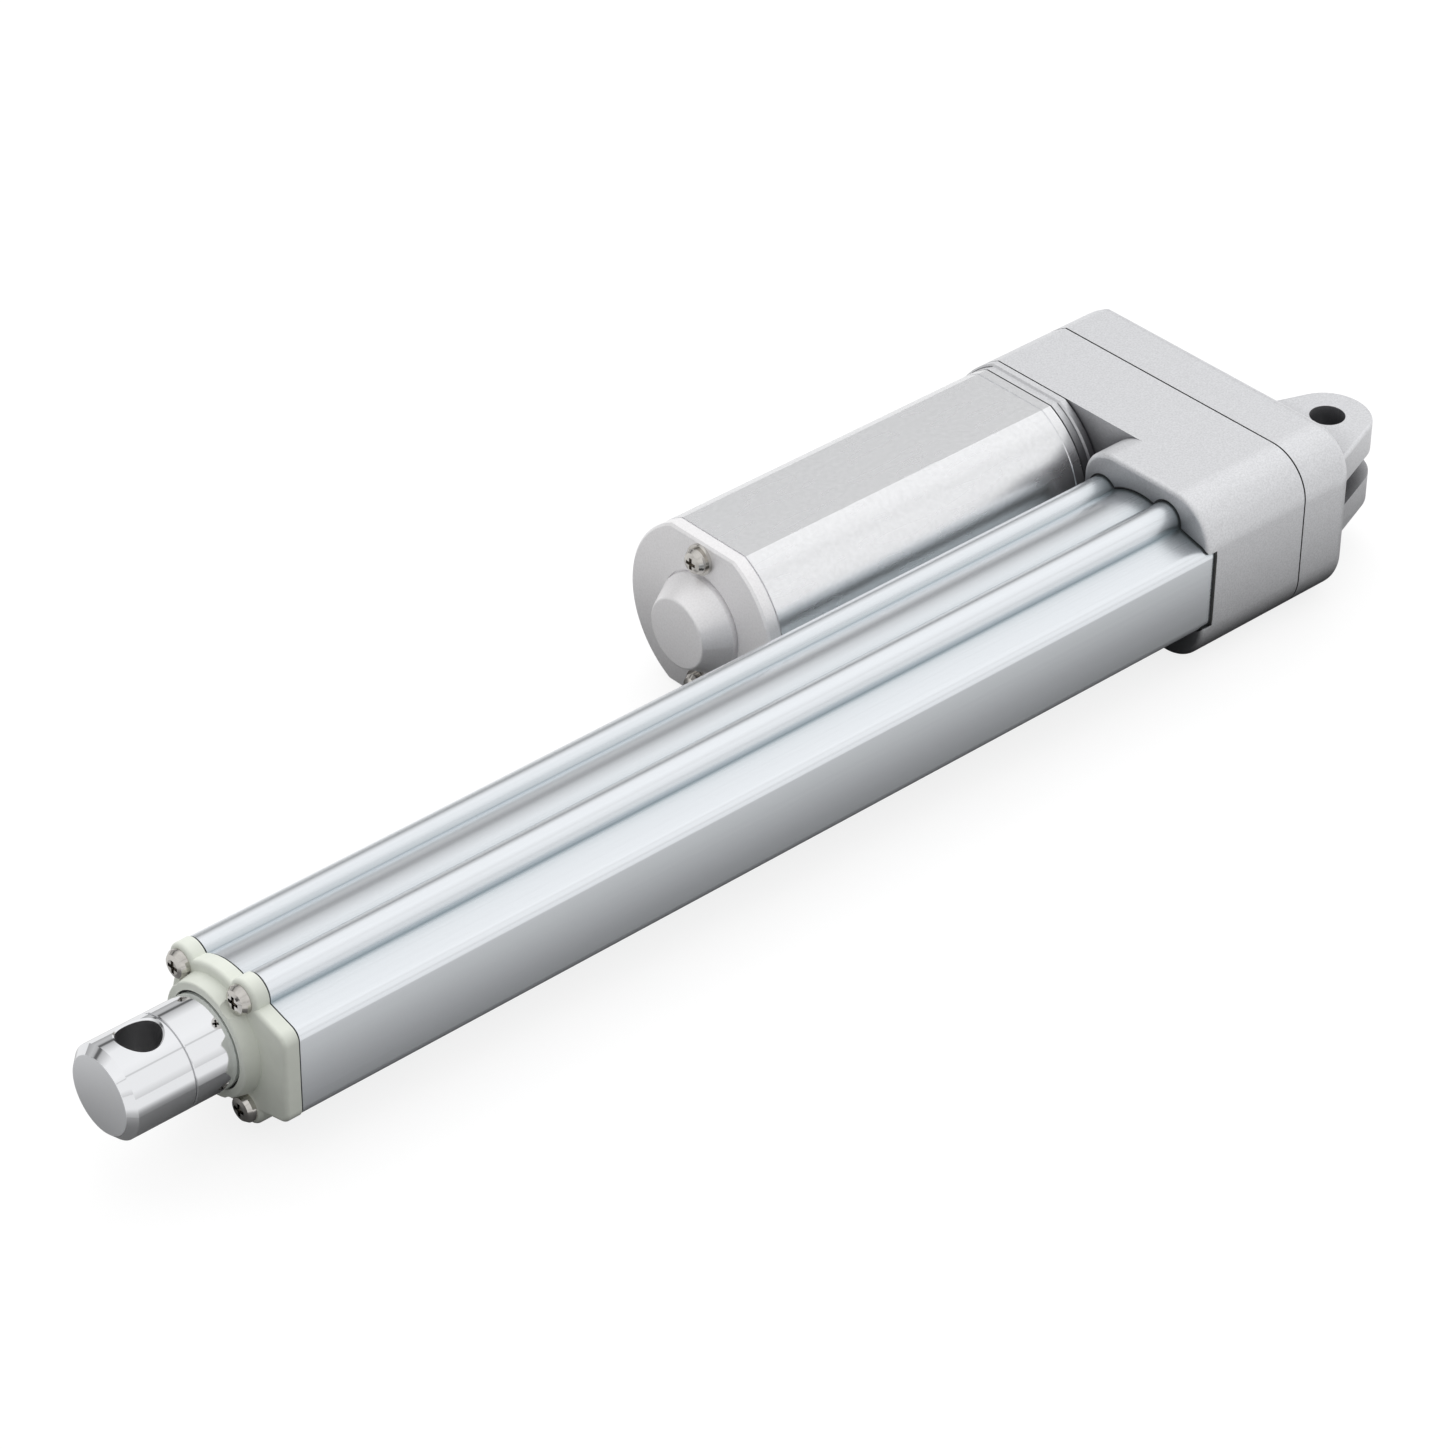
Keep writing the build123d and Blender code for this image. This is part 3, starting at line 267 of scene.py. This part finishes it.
def cap_plastic():
    """Ivory plastic with a soft moulded grain on the tube's front cap."""
    surface = Surface("ivory_plastic", (0.78, 0.81, 0.735), 0.0, 0.42)
    surface.vary_colour(surface.noise(even(300.0), 3.0), 0.025)
    surface.relief(surface.noise(even(2200.0), 2.0), 0.00001, 0.4)
    return surface.material


def plated_screw():
    """Warm nickel plate, a little uneven, on the screws that show."""
    surface = Surface("nickel_plate", (0.58, 0.56, 0.53), 1.0, 0.13)
    surface.vary_roughness(surface.noise(even(1200.0), 3.0), 0.05)
    surface.vary_colour(surface.noise(even(700.0)), 0.08)
    return surface.material


def plain(name, colour, metallic, roughness, scale=1200.0, variation=0.08):
    """A simple finish with fine grain, for the pieces inside."""
    surface = Surface(name, colour, metallic, roughness)
    grain = surface.noise(even(scale), 3.0)
    surface.vary_colour(grain, variation)
    surface.vary_roughness(grain, 0.05)
    surface.relief(grain, 0.00001, 0.4)
    return surface.material


def make_materials():
    """One material for each finish named in the record."""
    return {
        "case_paint": cast_paint(),
        "motor_can_metal": can_paint(),
        "motor_cap_paint": end_cap_paint(),
        "tube_aluminium": anodised(),
        "rod_chrome": chrome(),
        "rod_end_steel": rod_end_chrome(),
        "cap_plastic": cap_plastic(),
        "screw_nickel": plated_screw(),
        "gasket_rubber": plain("black_rubber", (0.02, 0.02, 0.02), 0.0, 0.6),
        "spindle_steel": plain("rolled_steel", (0.50, 0.50, 0.51), 1.0, 0.25),
        "gear_steel": plain("machined_steel", (0.46, 0.46, 0.47), 1.0, 0.32),
        "gear_plastic": plain("white_nylon", (0.82, 0.81, 0.76), 0.0, 0.4, variation=0.03),
        "bronze": plain("sintered_bronze", (0.48, 0.31, 0.14), 1.0, 0.45),
        "nut_plastic": plain("filled_plastic", (0.06, 0.06, 0.07), 0.0, 0.45),
        "core_steel": plain("sheet_steel", (0.20, 0.20, 0.21), 0.9, 0.5),
        "copper": plain("enamelled_copper", (0.50, 0.20, 0.08), 0.9, 0.3),
        "carbon": plain("pressed_carbon", (0.03, 0.03, 0.03), 0.1, 0.5),
        "ferrite": plain("ferrite", (0.07, 0.07, 0.075), 0.2, 0.6),
        "board_green": plain("circuit_board", (0.03, 0.16, 0.07), 0.0, 0.35),
        "sensor_glass": plain("sensor_glass", (0.55, 0.68, 0.60), 0.0, 0.1),
        "brush_plastic": plain("brush_plate_plastic", (0.07, 0.06, 0.05), 0.0, 0.5),
    }


def finish_nodes(materials):
    """Gives every CAD node the material of its slot."""
    for part in frame["record"]["subparts"]:
        node = nodes[part["node"]]
        material = materials[part["material_slot"]]
        if not node.material_slots:
            node.data.materials.append(material)
        for slot in node.material_slots:
            slot.material = material


# Stage and lights
FLOOR_REACH = 6.0
FLOOR_COLOUR = (0.22, 0.22, 0.22, 1.0)
FLOOR_GLOW = 0.82
FLOOR_BOUNCE = (0.6, 0.6, 0.6, 1.0)
# The painted shadow beside the object: how far from it the floor starts to brighten and stops, and
# how bright it gets there
SHADE_START = 0.006
SHADE_END = 0.050
SHADE_LEVEL = 0.66


def plane(name, corners):
    """A flat stage piece, which isn't part of the object."""
    mesh = bpy.data.meshes.new(name)
    mesh.from_pydata(corners, [], [(0, 1, 2, 3)])
    made = bpy.data.objects.new(name, mesh)
    bpy.context.collection.objects.link(made)
    return made


def footprints():
    """The floor areas under the gearbox with its motor, and under the tube with its rod."""
    gearbox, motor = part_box("gearbox_cover"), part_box("motor_end_cap")
    tube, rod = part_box("outer_tube"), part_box("rod_end")
    return (
        (Vector(gearbox[0]), Vector((motor[1][0], gearbox[1][1], 0.0))),
        (Vector(tube[0]), Vector((rod[1][0], tube[1][1], 0.0))),
    )


def vector_step(tree, operation, value, operand=None):
    """One vector operation on another node's output."""
    step = tree.nodes.new("ShaderNodeVectorMath")
    step.operation = operation
    tree.links.new(value, step.inputs[0])
    if operand is not None:
        step.inputs[1].default_value = operand
    return step.outputs["Value" if operation == "LENGTH" else "Vector"]


def painted_shadow_near_object(tree):
    """A painted shadow on the floor's glow in reflections and as light: dim beside the object,
    paler off it.
    """
    place = tree.nodes.new("ShaderNodeTexCoord").outputs["Object"]
    nearest = None
    for low, high in footprints():
        away = vector_step(tree, "SUBTRACT", place, (low + high) / 2)
        away = vector_step(tree, "ABSOLUTE", away)
        away = vector_step(tree, "SUBTRACT", away, (high - low) / 2)
        away = vector_step(tree, "MAXIMUM", away, Vector((0.0, 0.0, 0.0)))
        away = vector_step(tree, "MULTIPLY", away, Vector((1.0, 1.0, 0.0)))
        distance = vector_step(tree, "LENGTH", away)
        if nearest is not None:
            smaller = tree.nodes.new("ShaderNodeMath")
            smaller.operation = "MINIMUM"
            tree.links.new(nearest, smaller.inputs[0])
            tree.links.new(distance, smaller.inputs[1])
            distance = smaller.outputs["Value"]
        nearest = distance
    ramp = tree.nodes.new("ShaderNodeMapRange")
    ramp.interpolation_type = "SMOOTHSTEP"
    ramp.inputs["From Min"].default_value = SHADE_START
    ramp.inputs["From Max"].default_value = SHADE_END
    ramp.inputs["To Min"].default_value = 0.0
    ramp.inputs["To Max"].default_value = SHADE_LEVEL
    tree.links.new(nearest, ramp.inputs["Value"])
    return ramp.outputs["Result"]


def ray_kind(tree, *kinds):
    """1 for the named kinds of ray, and 0 for the others."""
    path = tree.nodes.new("ShaderNodeLightPath")
    total = path.outputs[kinds[0]]
    for kind in kinds[1:]:
        either = tree.nodes.new("ShaderNodeMath")
        either.operation = "MAXIMUM"
        tree.links.new(total, either.inputs[0])
        tree.links.new(path.outputs[kind], either.inputs[1])
        total = either.outputs["Value"]
    return total


def shown(tree):
    """1 for the rays that show the background: the camera's, and those in metal and glass."""
    return ray_kind(tree, "Is Camera Ray", "Is Glossy Ray", "Is Transmission Ray")


def make_floor():
    """A pale floor, seen by the camera and in reflections, which keeps the object's shadow."""
    reach = FLOOR_REACH
    height = cad_bounds[0][2]
    corners = [(-reach, -reach), (reach, -reach), (reach, reach), (-reach, reach)]
    floor = plane("floor", [(x, y, height) for x, y in corners])
    material = bpy.data.materials.new("pale_floor")
    material.use_nodes = True
    tree = material.node_tree
    shadowed_glow = painted_shadow_near_object(tree)
    seen = tree.nodes["Principled BSDF"]
    seen.inputs["Base Color"].default_value = FLOOR_COLOUR
    seen.inputs["Roughness"].default_value = 0.9
    seen.inputs["Specular IOR Level"].default_value = 0.0
    seen.inputs["Emission Color"].default_value = WHITE
    # The camera sees an even glow; reflections see the glow with the painted shadow beside the
    # object
    glow = choose(tree, ray_kind(tree, "Is Camera Ray"), shadowed_glow, FLOOR_GLOW)
    tree.links.new(glow, seen.inputs["Emission Strength"])
    # The floor's glow as light on the object, with the same painted shadow beside it
    bounce = tree.nodes.new("ShaderNodeEmission")
    bounce.inputs["Color"].default_value = FLOOR_BOUNCE
    tree.links.new(shadowed_glow, bounce.inputs["Strength"])
    mix = tree.nodes.new("ShaderNodeMixShader")
    tree.links.new(shown(tree), mix.inputs["Fac"])
    tree.links.new(bounce.outputs["Emission"], mix.inputs[1])
    tree.links.new(seen.outputs["BSDF"], mix.inputs[2])
    tree.links.new(mix.outputs["Shader"], tree.nodes["Material Output"].inputs["Surface"])
    floor.data.materials.append(material)


# What metal shows of the studio round the rod's axis: degrees from straight up towards +Y,
# and how much of the white background the dark flags leave there. They were set one by one.
STUDIO_FLAGS = (
    (-90, 0.42),
    (-76, 0.58),
    (-69, 0.50),
    (-65, 0.14),
    (-60, 0.14),
    (-56, 0.52),
    (-42, 0.76),
    (-30, 0.96),
    (18, 1.00),
    (33, 0.94),
    (36, 0.62),
    (39, 0.94),
    (72, 0.94),
    (90, 0.70),
)
# The soft light's level, and how it grows along X, Y and Z
SOFT_LIGHT_LEVEL = 0.60
SOFT_LIGHT_SLOPE = (-0.30, -0.28, 0.50)


def flag_levels(tree, direction):
    """The flags' ramp over the angle round the rod's axis."""
    split = tree.nodes.new("ShaderNodeSeparateXYZ")
    tree.links.new(direction, split.inputs["Vector"])
    angle = tree.nodes.new("ShaderNodeMath")
    angle.operation = "ARCTAN2"
    tree.links.new(split.outputs["Y"], angle.inputs[0])
    tree.links.new(split.outputs["Z"], angle.inputs[1])
    position = tree.nodes.new("ShaderNodeMapRange")
    position.inputs["From Min"].default_value = -math.pi / 2
    position.inputs["From Max"].default_value = math.pi / 2
    tree.links.new(angle.outputs["Value"], position.inputs["Value"])
    ramp = tree.nodes.new("ShaderNodeValToRGB")
    stops = ramp.color_ramp.elements
    while len(stops) < len(STUDIO_FLAGS):
        stops.new(0.5)
    for stop, (degrees, level) in zip(stops, STUDIO_FLAGS):
        stop.position = (degrees + 90) / 180
        stop.color = (level, level, level, 1.0)
    tree.links.new(position.outputs["Result"], ramp.inputs["Fac"])
    return ramp.outputs["Color"]


def soft_light(tree, direction):
    """Even light on the object, a little brighter from above and from the rear."""
    slope = tree.nodes.new("ShaderNodeVectorMath")
    slope.operation = "DOT_PRODUCT"
    tree.links.new(direction, slope.inputs[0])
    slope.inputs[1].default_value = SOFT_LIGHT_SLOPE
    level = tree.nodes.new("ShaderNodeMath")
    level.operation = "ADD"
    tree.links.new(slope.outputs["Value"], level.inputs[0])
    level.inputs[1].default_value = SOFT_LIGHT_LEVEL
    return level.outputs["Value"]


def make_world():
    """White to the camera; white with dark flags in metal and glass; soft light otherwise."""
    world = bpy.data.worlds.new("studio")
    bpy.context.scene.world = world
    world.use_nodes = True
    tree = world.node_tree
    direction = tree.nodes.new("ShaderNodeTexCoord").outputs["Generated"]
    camera = ray_kind(tree, "Is Camera Ray")
    background = choose(tree, camera, flag_levels(tree, direction), WHITE, "RGBA")
    colour = choose(tree, shown(tree), soft_light(tree, direction), background, "RGBA")
    tree.links.new(colour, tree.nodes["Background"].inputs["Color"])


def area_light(name, place, target, size, watts):
    """A softbox aimed at a target. It doesn't show in reflections, where the world stands in."""
    data = bpy.data.lights.new(name, "AREA")
    data.shape = "RECTANGLE"
    data.size, data.size_y = size
    data.energy = watts
    light = bpy.data.objects.new(name, data)
    light.visible_glossy = False
    bpy.context.collection.objects.link(light)
    light.location = place
    light.rotation_mode = "QUATERNION"
    light.rotation_quaternion = (Vector(target) - Vector(place)).to_track_quat("-Z", "Y")


def make_lights():
    """Two soft lamps, aimed at the middle of the object."""
    middle = (0.16, -0.01, 0.0)
    area_light("back_softbox", (-0.40, -0.60, 1.10), middle, (0.9, 0.9), 4.2)
    area_light("key_softbox", (-0.30, 0.75, 0.95), middle, (0.5, 0.5), 0.5)


make_camera()
finish_nodes(make_materials())
make_floor()
make_world()
make_lights()

bpy.context.scene.view_settings.view_transform = "Standard"
